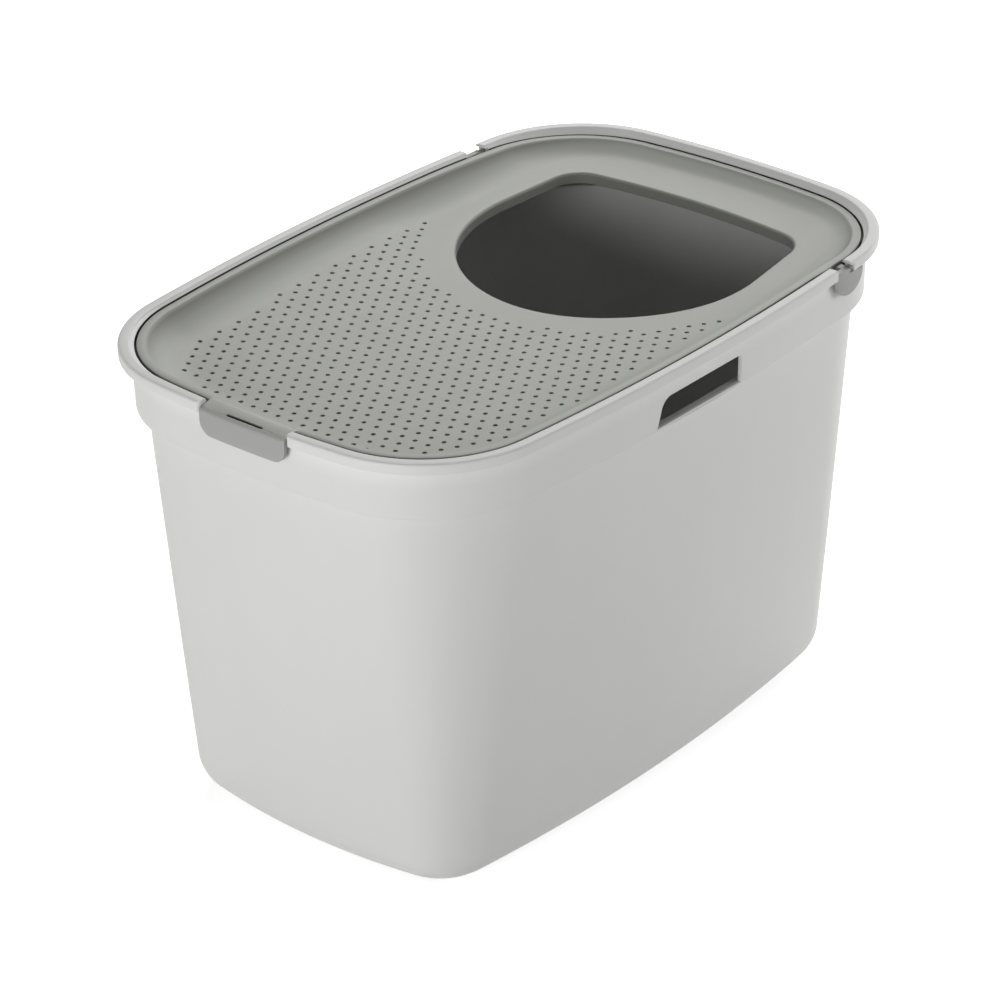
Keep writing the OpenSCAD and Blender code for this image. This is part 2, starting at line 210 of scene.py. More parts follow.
def makeGrainGroup():
    # fine moulded grain with slow tone changes and a soft scuffing, from Object coordinates; the scuffing
    # also pales the convex edges as a painted highlight, and the Shade input darkens the colour as painted
    # shade and pales it as painted light below 0
    tree = bpy.data.node_groups.new("mouldedGrain", "ShaderNodeTree")
    base = tree.interface.new_socket("Base", in_out="INPUT", socket_type="NodeSocketColor")
    base.default_value = (0.5, 0.5, 0.5, 1)
    for name, default in grainInputs.items():
        s = tree.interface.new_socket(name, in_out="INPUT", socket_type="NodeSocketFloat")
        s.default_value = default
    tree.interface.new_socket("Color", in_out="OUTPUT", socket_type="NodeSocketColor")
    for name in ("Roughness", "Height"):
        tree.interface.new_socket(name, in_out="OUTPUT", socket_type="NodeSocketFloat")
    inp, out = tree.nodes.new("NodeGroupInput"), tree.nodes.new("NodeGroupOutput")
    coord = tree.nodes.new("ShaderNodeTexCoord")

    def noise(scale, detail, rough=0.55):
        n = tree.nodes.new("ShaderNodeTexNoise")
        n.inputs["Scale"].default_value = scale
        n.inputs["Detail"].default_value = detail
        n.inputs["Roughness"].default_value = rough
        link(tree, coord.outputs["Object"], n.inputs["Vector"])
        return n

    def math2(kind, a, b):
        m = tree.nodes.new("ShaderNodeMath")
        m.operation = kind
        for i, v in enumerate((a, b)):
            if isinstance(v, (int, float)):
                m.inputs[i].default_value = v
            else:
                link(tree, v, m.inputs[i])
        return m.outputs[0]

    g = grain
    cloud = noise(g["cloudScale"], g["cloudDetail"])
    patch = noise(g["patchScale"], g["patchDetail"])
    pores = noise(1.0, g["fineDetail"], g["fineRough"])
    link(tree, inp.outputs["Grain Scale"], pores.inputs["Scale"])
    stretch = tree.nodes.new("ShaderNodeMapping")  # flow lines run up the walls
    stretch.inputs["Scale"].default_value = g["flowStretch"]
    link(tree, coord.outputs["Object"], stretch.inputs["Vector"])
    flow = tree.nodes.new("ShaderNodeTexNoise")
    flow.inputs["Scale"].default_value = 1.0
    flow.inputs["Detail"].default_value = g["flowDetail"]
    link(tree, stretch.outputs["Vector"], flow.inputs["Vector"])

    tone = math2("MULTIPLY", math2("SUBTRACT", cloud.outputs["Fac"], 0.5), inp.outputs["Tone"])
    patchTone = math2("MULTIPLY", inp.outputs["Tone"], g["patchShare"])
    fine = math2("MULTIPLY", math2("SUBTRACT", patch.outputs["Fac"], 0.5), patchTone)
    streak = math2("MULTIPLY", math2("SUBTRACT", flow.outputs["Fac"], 0.5), inp.outputs["Flow"])
    # scuffing on convex edges, which dulls them and also pales them as a painted highlight
    edge = tree.nodes.new("ShaderNodeNewGeometry")
    edgeMask = tree.nodes.new("ShaderNodeMapRange")
    edgeMask.inputs["From Min"].default_value = g["wearHighlightFrom"]
    edgeMask.inputs["From Max"].default_value = g["wearHighlightTo"]
    link(tree, edge.outputs["Pointiness"], edgeMask.inputs["Value"])
    wornAndHighlit = math2("MULTIPLY", edgeMask.outputs["Result"], inp.outputs["Wear And Highlight"])
    level = math2("ADD", math2("ADD", 1.0, tone), math2("ADD", fine, math2("ADD", streak, wornAndHighlit)))
    # the Shade input darkens the colour as painted shade, and pales it as painted light below 0
    level = math2("MULTIPLY", level, math2("SUBTRACT", 1.0, inp.outputs["Shade"]))
    scale = tree.nodes.new("ShaderNodeVectorMath")
    scale.operation = "SCALE"
    link(tree, inp.outputs["Base"], scale.inputs[0])
    link(tree, level, scale.inputs["Scale"])
    link(tree, scale.outputs["Vector"], out.inputs["Color"])
    spread = math2("MULTIPLY", math2("SUBTRACT", patch.outputs["Fac"], 0.5), inp.outputs["Rough Spread"])
    dulled = math2("ADD", spread, math2("MULTIPLY", wornAndHighlit, g["wearRough"]))
    link(tree, math2("ADD", inp.outputs["Roughness"], dulled), out.inputs["Roughness"])
    waves = math2("MULTIPLY", flow.outputs["Fac"], g["flowHeight"])
    link(tree, math2("ADD", pores.outputs["Fac"], waves), out.inputs["Height"])
    return tree


grainGroup = makeGrainGroup()


def linear(c):
    return tuple(v / 12.92 if v <= 0.04045 else ((v + 0.055) / 1.055) ** 2.4 for v in c) + (1.0,)


def makePlastic(name, look):
    mat = bpy.data.materials.new(name)
    mat.use_nodes = True
    tree = mat.node_tree
    shader = tree.nodes["Principled BSDF"]
    group = tree.nodes.new("ShaderNodeGroup")
    group.node_tree = grainGroup
    group.inputs["Base"].default_value = linear(look["colour"])
    for key in ("Tone", "Roughness", "Rough Spread", "Grain Scale", "Flow", "Wear And Highlight"):
        group.inputs[key].default_value = look[key]
    # the shade attribute brings painted shade and painted light into the colour
    shade = tree.nodes.new("ShaderNodeAttribute")
    shade.attribute_name = "shade"
    link(tree, shade.outputs["Fac"], group.inputs["Shade"])
    bump = tree.nodes.new("ShaderNodeBump")
    bump.inputs["Strength"].default_value = look["bump"]
    bump.inputs["Distance"].default_value = look["bumpDepth"] * mm
    link(tree, group.outputs["Color"], shader.inputs["Base Color"])
    link(tree, group.outputs["Roughness"], shader.inputs["Roughness"])
    link(tree, group.outputs["Height"], bump.inputs["Height"])
    link(tree, bump.outputs["Normal"], shader.inputs["Normal"])
    shader.inputs["IOR"].default_value = grain["ior"]
    shader.inputs["Specular IOR Level"].default_value = look["specular"]
    return mat


tubLook = {
    "colour": (0.835, 0.835, 0.83), "Tone": 0.035, "Roughness": 0.5, "Rough Spread": 0.08,
    "Grain Scale": 1100.0, "Flow": 0.02, "Wear And Highlight": 0.05, "bump": 0.12, "bumpDepth": 0.12, "specular": 0.4,
}
lidLook = {
    "colour": (0.632, 0.638, 0.612), "Tone": 0.04, "Roughness": 0.52, "Rough Spread": 0.08,
    "Grain Scale": 1300.0, "Flow": 0.01, "Wear And Highlight": 0.1, "bump": 0.15, "bumpDepth": 0.12, "specular": 0.4,
}
# a copy of the lid's plastic made a little darker and less green, as painted shade for the latch and the
# ears
shadedLidLook = dict(lidLook, colour=(0.615, 0.617, 0.605))
tubPlastic = makePlastic("tubPlastic", tubLook)
lidPlastic = makePlastic("lidPlastic", lidLook)
shadedLidPlastic = makePlastic("shadedLidPlastic", shadedLidLook)
print("finishes ready")


# skirtShade, sideShade and endShade are painted shade above 0 and painted light below 0
lid = {
    "play": 2.3, "beadDrop": 2.1, "beadSink": 3.5, "sinkFrom": 120.0, "beadW": 6.8, "edgeCorner": 97.5,
    "t": 2.5, "lipH": 8.0, "footIn": 46.5, "footInFar": 30.0, "footCorner": 62.0, "slopeTop": 55.0,
    "slopeEnd": 5.0, "entryR": 125.0, "entryNear": 5.8, "entryFar": 229.8, "entryCorner": 27.0,
    "farR": 700.0, "farY": 91.0, "rollR": 2.4, "skirtH": 9.5, "skirtShade": 0.4, "gridStep": 9.0,
    "planeHigh": 365.8, "planeAt": 110.0, "planeSlope": 3.41, "meetFrom": 10.0, "meetOver": 110.0,
    "sideShade": [0.48, 0.27, 0.08, 0.0, -0.06, -0.04, 0.0, 0.0],
    "endShade": [0.0, -0.2, -0.25, -0.25, -0.25, -0.22, -0.15, -0.08],
}
# the tub's edgeShade, bandShade, gapShade and insideShade are painted shade above 0 and painted light below
# 0
tub = {
    "wall": 3.0, "footInset": 41.2, "footR": 32.6, "footCorner": 52.0, "wallInset": 15.2,
    "wallCorner": 102.0, "collarH": 50.6, "collarInset": 6.7, "collarDraft": 1.0, "collarCorner": 107.5,
    "ledgeR": 2.6, "collarEdge": 1.6, "rimBand": 8.9, "rimT": 2.5, "rimCorner": 105.6, "rimEdge": 2.0,
    "bandEdge": 0.9, "flatEnd": 7.2, "innerEdge": 1.2, "edgeShade": -0.12, "bandShade": -0.12,
    "innerCorner": 102.5, "stepCut": 1.6, "recess": 1.1, "recessLow": 12.0, "gapShade": 0.8,
    "insideShade": 0.17, "handleL": 100.0, "handleH": 22.4, "handleX": -5.0, "handleLean": 4.0,
    "handleUp": 0.4, "handleBig": 12.0, "handleSmall": 4.0, "notchW": 85.0, "notchFloor": 6.2, "endR": 3.5,
    "hingeX": 183.0, "hingeDrop": 9.5, "earR": 17.8, "neckR": 5.0, "neckPlay": 0.08, "earPlay": 0.7,
    "gapPast": 1.5, "gapDepth": 34, "bandDepth": 20, "closedEnd": 3.0,
}
collarZ = rimTop - tub["collarH"]
rimIn = tub["collarInset"] + tub["wall"]
hingeZ = rimTop - tub["hingeDrop"]


def beadZ(x):
    # top of the lid's bead, which sinks towards the entry end
    far = litterBox["length"] / 2
    return rimTop - lid["beadDrop"] - lid["beadSink"] * ease((x - lid["sinkFrom"]) / (far - lid["sinkFrom"]))


def below(z):
    # a height between the rim's top and just under the bead, as a function of x
    return lambda x: rimTop - z * (rimTop - beadZ(x) + 0.5)


def quarterTurn(steps, start=0.0, end=90.0):
    angles = [math.radians(start + (end - start) * i / steps) for i in range(steps + 1)]
    return [(math.sin(a), math.cos(a)) for a in angles]


def tubProfile():
    # (inset, corner radius, height, shade) from the foot up the outside, over the rim and down the inside
    t = tub
    # dark is painted shade over the tub's inside faces
    wall, dark = t["wall"], t["insideShade"]
    rows = []
    for s, c in quarterTurn(10, 90, 0):
        rows.append((t["footInset"] + t["footR"] * (1 - c), t["footCorner"] - t["footR"] * (1 - c),
                     t["footR"] * (1 - s), 0))
    r, q = t["ledgeR"], t["collarEdge"]
    for f in (i / 9 for i in range(1, 10)):
        rows.append((t["footInset"] + f * (t["wallInset"] - t["footInset"]),
                     t["footCorner"] + f * (t["wallCorner"] - t["footCorner"]),
                     t["footR"] + f * (collarZ - r - t["footR"]), 0))
    for s, c in quarterTurn(3)[1:]:  # hollow under the collar
        rows.append((t["wallInset"] - r * (1 - c), t["wallCorner"] + r * (1 - c), collarZ - r + r * s, 0))
    low, corner = t["collarInset"] + t["collarDraft"], t["collarCorner"]
    for s, c in quarterTurn(4):  # round lower edge of the collar
        rows.append((low + q * (1 - s), corner - 1 - q * (1 - s), collarZ + q * (1 - c), 0))
    rows.append((t["collarInset"] + 0.5, corner - 0.5, collarZ + t["collarH"] / 2, 0))
    # pale is painted light on the collar just under the rim band
    top, b, pale = rimTop - t["rimBand"], t["bandEdge"], t["bandShade"]
    rows.append((t["collarInset"] + 0.1, corner - 0.1, top - 8, pale / 2))
    rows += [(t["collarInset"], corner, top - 0.6, pale), (t["collarInset"] - 0.6, corner, top, pale)]
    for s, c in quarterTurn(4):
        rows.append((b * (1 - s), t["rimCorner"] - b * (1 - s), top + b * (1 - c), 0))
    e = t["rimEdge"]
    for s, c in quarterTurn(4):
        rows.append((e * (1 - c), t["rimCorner"] - e * (1 - c), rimTop - e * (1 - s), 0))
    flat, inner, e = t["flatEnd"], t["innerCorner"], t["innerEdge"]
    for s, c in quarterTurn(4):  # small round, then a slanting inner face, paled by painted light
        rows.append((flat + e * s, t["rimCorner"] - flat - e * s, rimTop - e * (1 - c),
                     t["edgeShade"] * s / 2))
    rows.append((rimIn - 0.25, inner, below(0.9), t["edgeShade"]))
    rows.append((rimIn, inner, below(1.0), t["edgeShade"] * 1.5))
    # painted shade: strong in the recess behind the lid's edge, lighter over the inside below it
    back = t["recess"]
    step, stepCorner = t["wallInset"] + wall - t["stepCut"], t["wallCorner"] - wall + t["stepCut"]
    rows += [(rimIn - back, inner + back, below(1.15), t["gapShade"]),
             (rimIn - back, inner + back, rimTop - t["recessLow"], t["gapShade"]),
             (rimIn + 0.2, inner - 0.2, rimTop - t["recessLow"] - 2, dark),
             (rimIn + t["collarDraft"], inner - t["collarDraft"], collarZ + wall + 1, dark),
             (rimIn + t["collarDraft"] + 1, inner - t["collarDraft"] - 1, collarZ + wall, dark),
             (step - 0.7, stepCorner + 0.7, collarZ + wall, dark),
             (step, stepCorner, collarZ + wall - 0.8, dark)]
    inR = t["footR"] - wall
    for f in (i / 11 for i in range(10, 0, -1)):
        rows.append((wall + t["footInset"] + f * (t["wallInset"] - t["footInset"]),
                     t["footCorner"] - wall + f * (t["wallCorner"] - t["footCorner"]),
                     t["footR"] + f * (collarZ - t["footR"]), dark))
    for s, c in quarterTurn(10):
        rows.append((t["footInset"] + wall + inR * (1 - c), t["footCorner"] - wall - inR * (1 - c),
                     wall + inR * (1 - s), dark))
    return rows


def faceY(x, z):
    # half width over the collar's outer face at some place
    t = tub
    inset = t["collarInset"] + t["collarDraft"] * (rimTop - z) / t["collarH"]
    hl, hw, bow = litterBox["length"] / 2 - inset, litterBox["width"] / 2 - inset, litterBox["bow"]
    r = (hl * hl + bow * bow) / (2 * bow)
    return hw - r + math.sqrt(r * r - x * x)


def handleOutline(grow):
    t = tub
    g, x0, x1 = grow, t["handleX"] - t["handleL"] / 2, t["handleX"] + t["handleL"] / 2
    low = collarZ + t["wall"] + t["handleUp"]
    high, big, small, lean = low + t["handleH"], t["handleBig"], t["handleSmall"], t["handleLean"]
    pts = [(x0 - g, low - g), (x1 + g, low - g)]
    pts += arcPoints(x1 - small, high - small, small + g, 0, 90, 8)
    return pts + arcPoints(x0 + lean + big, high - big, big + g, 90, 172, 14)


def handleCutter(side):
    # straight inside the wall, then flared over the outer face for a round edge
    loops = []
    inner = [(x, 150.0, z) for x, z in handleOutline(0.0)]
    loops.append(inner)
    for grow, out in ((0.0, -1.3), (0.12, -0.75), (0.4, -0.33), (0.85, -0.05), (1.5, 0.12)):
        loops.append([(x, faceY(x, z) + out, z) for x, z in handleOutline(grow)])
    loops.append([(x, 210.0, z) for x, z in handleOutline(1.5)])
    return loft("hole", [[(x, side * y, z) for x, y, z in loop] for loop in loops])


def shortBow(y):
    # how far the bowed short side falls back at some y
    half, bow = litterBox["width"] / 2, litterBox["bow"]
    r = (half * half + bow * bow) / (2 * bow)
    return r - math.sqrt(r * r - y * y)


def makeTub():
    t = tub
    bm = bmesh.new()
    rings = [addRing(bm, insetRing(i, r, z), shade) for i, r, z, shade in tubProfile()]
    for a, b in zip(rings, rings[1:]):
        bridge(bm, a, b)
    bm.faces.new(list(reversed(rings[0])))
    bm.faces.new(rings[-1])
    obj = finishMesh(bm, "tub", tubPlastic)
    for side in (-1, 1):
        combine(obj, handleCutter(side))

    # the latch notch, with its two rim ends rounded in plan
    end, r = -litterBox["length"] / 2, t["endR"]
    w = t["notchW"] / 2
    edge = end + shortBow(w)
    side = arcPoints(edge + r, w + r, r, 270, 180, 8)[:-1] + [(edge, w + r), (end - 4, w + r)]
    notch = [(end + 20, w)] + side
    notch += [(x, -y) for x, y in reversed(notch)]
    combine(obj, prism("notch", notch, rimTop - t["notchFloor"], rimTop + 20))
    front = end + t["collarInset"] - 0.3
    band = [(front, w)] + [(x, y) for x, y in side if x < front]
    band += [(x, -y) for x, y in reversed(band)]
    combine(obj, prism("band", band, rimTop - t["rimBand"] - 1, rimTop + 20))

    # the rim's gaps for the hinge ears, each with a half-round seat
    gapLow, gapHigh = t["hingeX"] - t["earR"] - t["earPlay"], t["hingeX"] + t["gapPast"]
    seatR, half = t["neckR"] + t["neckPlay"], litterBox["width"] / 2
    slot = boxOutline(gapLow, hingeZ, gapHigh, rimTop + 20)
    bandGap = boxOutline(gapLow, rimTop - t["rimBand"] - 1, gapHigh, rimTop + 20)
    seat = arcPoints(t["hingeX"], hingeZ, seatR, 180, 360, 24)
    under = rimTop - t["rimT"]
    seat += [(t["hingeX"] + seatR, under), (gapLow + 0.1, under), (gapLow + 0.1, hingeZ)]
    for side in (-1, 1):
        for outline, depth in ((slot, t["gapDepth"]), (bandGap, t["bandDepth"]), (seat, t["gapDepth"])):
            ys = sorted((side * (half - depth), side * (half + 20)))
            combine(obj, prism("gap", outline, *ys, axis="y"))

    # the rolled rim is hollow below, but closed at its ends
    i, c, low = t["collarInset"] - 0.05, t["collarCorner"], rimTop - t["rimBand"] - 3
    skin = t["rimT"]
    corner, roof = t["rimCorner"] - skin, rimTop - skin
    rows = [(skin, corner, low), (skin, corner, roof - 1), (skin + 1, corner - 1, roof),
            (i, c, roof), (i, c, low)]
    bm = bmesh.new()
    loops = [addRing(bm, insetRing(*row)) for row in rows]
    for a, b in zip(loops, loops[1:] + loops[:1]):
        bridge(bm, a, b)
    hollow = finishMesh(bm, "hollow")
    keep = t["closedEnd"]
    blocks = [boxOutline(end - 20, -w - r - keep, end + 30, w + r + keep)]
    for side in (-1, 1):
        ys = sorted((side * (half - 40), side * (half + 20)))
        blocks.append(boxOutline(gapLow - keep, ys[0], gapHigh + keep, ys[1]))
    for block in blocks:
        combine(hollow, prism("keep", block, low - 10, rimTop + 10))
    return combine(obj, hollow)


tubObj = makeTub()
print("tub made,", len(tubObj.data.polygons), "faces, open edges", openEdges(tubObj))


lidIn = rimIn + lid["play"]


def floorZ(x, y):
    # the dished floor, and the plane that rises round the entry hole
    u, v = min(x, 80.0) / 100, y / 100
    dish = 362.75 + 0.14 * u - 0.93 * u * u + 2.84 * v * v - 0.12 * v ** 4 - 0.58 * u ** 3 + 0.5 * u * v * v
    dish += -0.04 * u ** 4 - 0.13 * u * u * v * v
    plane = lid["planeHigh"] + lid["planeSlope"] * (x - lid["planeAt"]) / 100
    s = ease((x - lid["meetFrom"]) / lid["meetOver"])
    return dish * (1 - s) + plane * s


def entryOutline(grow):
    e = lid
    cx = e["entryNear"] + e["entryR"]
    fx = e["entryFar"] - e["farR"] + math.sqrt((e["farR"] - e["entryCorner"]) ** 2 - e["farY"] ** 2)
    d = math.hypot(fx - cx, e["farY"])
    t = math.degrees(math.atan2(e["farY"], fx - cx) + math.acos((e["entryR"] - e["entryCorner"]) / d))
    b = math.degrees(math.atan2(e["farY"], fx - e["entryFar"] + e["farR"]))
    p = arcPoints(cx, 0, e["entryR"] + grow, t, 360 - t, 72)
    p += arcPoints(fx, -e["farY"], e["entryCorner"] + grow, -t, -b, 14)
    p += arcPoints(e["entryFar"] - e["farR"], 0, e["farR"] + grow, -b, b, 16)[1:-1]
    p += arcPoints(fx, e["farY"], e["entryCorner"] + grow, b, t, 14)
    # extra points along the two straight sides
    full = []
    for i, a in enumerate(p):
        c = p[(i + 1) % len(p)]
        full.append(a)
        gap = math.dist(a, c)
        if gap > 12:
            n = int(gap // 8)
            full += [(a[0] + (c[0] - a[0]) * k / n, a[1] + (c[1] - a[1]) * k / n) for k in range(1, n)]
    return full


def inside(p, loop):
    x, y = p
    hit = False
    for i in range(len(loop)):
        (xa, ya), (xb, yb) = loop[i - 1], loop[i]
        if (ya > y) != (yb > y) and x < xa + (y - ya) * (xb - xa) / (yb - ya):
            hit = not hit
    return hit


def slopeRing(angle, drop=0.0):
    # the arc from the bead down to the floor
    e = lid
    inset = lidIn + e["beadW"]
    inner = planOutline(litterBox["length"] - 2 * inset, litterBox["width"] - 2 * inset,
                        e["edgeCorner"] - e["beadW"])
    foot = footOutline()
    ends = [math.radians(e[k]) for k in ("slopeTop", "slopeEnd")]
    s0, s1, c0, c1 = (f(end) for f in (math.sin, math.cos) for end in ends)
    a = math.radians(angle)
    u = (s0 - math.sin(a)) / (s0 - s1)
    g = (math.cos(a) - c0) / (c1 - c0)
    ring = []
    for (xa, ya), (xb, yb) in zip(inner, foot):
        x, y = xa + u * (xb - xa), ya + u * (yb - ya)
        top, low = beadZ(x), floorZ(xb, yb)
        ring.append((x, y, top + g * (low - top) - drop / math.cos(a)))
    return ring


def footOutline(inset=0.0):
    e = lid
    length = litterBox["length"] - e["footIn"] - e["footInFar"] - 2 * inset
    width = litterBox["width"] - 2 * e["footIn"] - 2 * inset
    return planOutline(length, width, e["footCorner"] - inset, (e["footIn"] - e["footInFar"]) / 2)


def sideShare(p):
    # 1 on the long sides, 0 on the short ends, in between round the corners
    r = tub["rimCorner"]
    dx = max(0.0, abs(p[0]) - litterBox["length"] / 2 + r)
    dy = max(0.0, abs(p[1]) - litterBox["width"] / 2 + r)
    share = dy / math.hypot(dx, dy)
    return share if p[0] < 0 else share * share


def makeLid():
    e = lid
    bm = bmesh.new()

    def edgeRing(more, dz):
        return insetRing(lidIn + more, e["edgeCorner"] - more, lambda x: beadZ(x) + dz)

    outer = [edgeRing(0.4, -e["lipH"]), edgeRing(0.0, -e["lipH"] + 0.4), edgeRing(0.0, -1.2),
             edgeRing(0.35, -0.35), edgeRing(1.2, 0.0), edgeRing(e["beadW"] - 0.9, 0.0),
             edgeRing(e["beadW"] - 0.4, -0.12)]
    angles = [51, 45, 39, 33, 27, 21, 15, 10]
    slope = [slopeRing(a) for a in angles]
    # painted shade in the gap round the bead; on the slope, by the side it lies on, mostly painted shade
    # along the long sides and painted light on the +X end
    dark = [0.7, 0.7, 0.45, 0.1, 0.0, 0.0, 0.1]
    sides, ends = e["sideShade"], e["endShade"]
    slopeDark = []
    for ring, a, b in zip(slope, sides, ends):
        shares = [(p[0], sideShare(p)) for p in ring]
        slopeDark.append([w * a + (1 - w) * (b if x > 0 else 0.0) for x, w in shares])
    foot = [(x, y, floorZ(x, y)) for x, y in footOutline()]
    # the floor is a fine mesh between the slope's foot and the entry hole's roll
    entry = entryOutline(e["rollR"])
    loops = [footOutline(), entry]
    points = [p for loop in loops for p in loop]
    edges, start = [], 0
    for loop in loops:
        edges += [(start + i, start + (i + 1) % len(loop)) for i in range(len(loop))]
        start += len(loop)
    step = e["gridStep"]
    footIn, entryOut = footOutline(4.0), entryOutline(e["rollR"] + 4)
    for i in range(-32, 33):
        for j in range(-20, 21):
            p = (i * step * math.sin(math.radians(60)), (j + 0.5 * (i % 2)) * step)
            if inside(p, footIn) and not inside(p, entryOut):
                points.append(p)
    coords, _, faces, origins, _, _ = delaunay_2d_cdt([Vector(p) for p in points], edges, [], 0, 1e-6)
    flat = [tuple(c) for c in coords]
    rings = [addRing(bm, r, d) for r, d in zip(outer + slope + [foot], dark + slopeDark + [0.0])]
    for a, b in zip(rings, rings[1:]):
        bridge(bm, a, b)

    # the roll and the skirt round the entry hole
    roll = [(e["rollR"], 0.0)]
    for a in (20, 40, 60, 80, 90):
        s, c = math.sin(math.radians(a)), math.cos(math.radians(a))
        roll.append((e["rollR"] * (1 - s), -e["rollR"] * (1 - c)))
    roll += [(0.0, -e["skirtH"] + 0.6), (0.6, -e["skirtH"]), (e["t"] - 0.5, -e["skirtH"]),
             (e["t"] - 0.1, -e["skirtH"] + 0.5), (e["rollR"], -e["t"] - 0.8)]
    skirt = []
    for grow, dz in roll:
        ring = entryOutline(grow)
        skirt.append([(x, y, floorZ(*entry[i]) + dz) for i, (x, y) in enumerate(ring)])
    # painted shade: the skirt is darker the deeper it goes
    holeRings = [addRing(bm, r, e["skirtShade"] * min(1.0, i / 4)) for i, r in enumerate(skirt)]
    for a, b in zip(holeRings, holeRings[1:]):
        bridge(bm, b, a)
    under = [[(x, y, z - e["t"]) for x, y, z in foot]]
    under += [slopeRing(a, e["t"]) for a in reversed(angles)]
    under += [edgeRing(e["beadW"] - 2.2, -e["t"]), edgeRing(e["t"] + 0.8, -e["t"]),
              edgeRing(e["t"], -e["t"] - 0.8), edgeRing(e["t"], -e["lipH"] + 0.4),
              edgeRing(e["t"] - 0.4, -e["lipH"])]
    underRings = [addRing(bm, r) for r in under]
    for a, b in zip(underRings, underRings[1:] + rings[:1]):
        bridge(bm, a, b)
    entryUnder = addRing(bm, [(x, y, floorZ(x, y) - e["t"]) for x, y in entry])
    bridge(bm, entryUnder, holeRings[-1])
    nFoot, nEntry = len(foot), len(entry)
    top, low = {}, {}
    for i, ids in enumerate(origins):
        k = ids[0]
        x, y = flat[i]
        if k < nFoot:
            top[i], low[i] = rings[-1][k], underRings[0][k]
        elif k < nFoot + nEntry:
            top[i], low[i] = holeRings[0][k - nFoot], entryUnder[k - nFoot]
        else:
            z = floorZ(x, y)
            top[i] = bm.verts.new((x * mm, y * mm, z * mm))
            low[i] = bm.verts.new((x * mm, y * mm, (z - e["t"]) * mm))
    outline = footOutline()
    for f in faces:
        c = (sum(flat[i][0] for i in f) / 3, sum(flat[i][1] for i in f) / 3)
        if inside(c, outline) and not inside(c, entry):
            bm.faces.new([top[i] for i in f])
            bm.faces.new([low[i] for i in reversed(f)])
    bmesh.ops.delete(bm, geom=[v for v in bm.verts if not v.link_faces], context="VERTS")
    bmesh.ops.recalc_face_normals(bm, faces=bm.faces)
    return finishMesh(bm, "lid", lidPlastic)


lidObj = makeLid()
print("lid made,", len(lidObj.data.polygons), "faces, open edges", openEdges(lidObj))


vents = {
    "Pitch": 12.21, "Diameter": 3.8, "Margin": 26.2, "Half Width": 150.0, "Near End": -249.0,
    "Corner": 45.0, "Far End": 78.0, "First Column": -65.4, "Side Radius": 2000.0, "End Radius": 984.0,
    "Corner In": 4.5, "Corner Out": 10.0,
}
ventGrid = {"columns": 31, "rows": 25, "middle": 2.0, "height": 366.0, "pinSides": 14, "pinLength": 26.0}


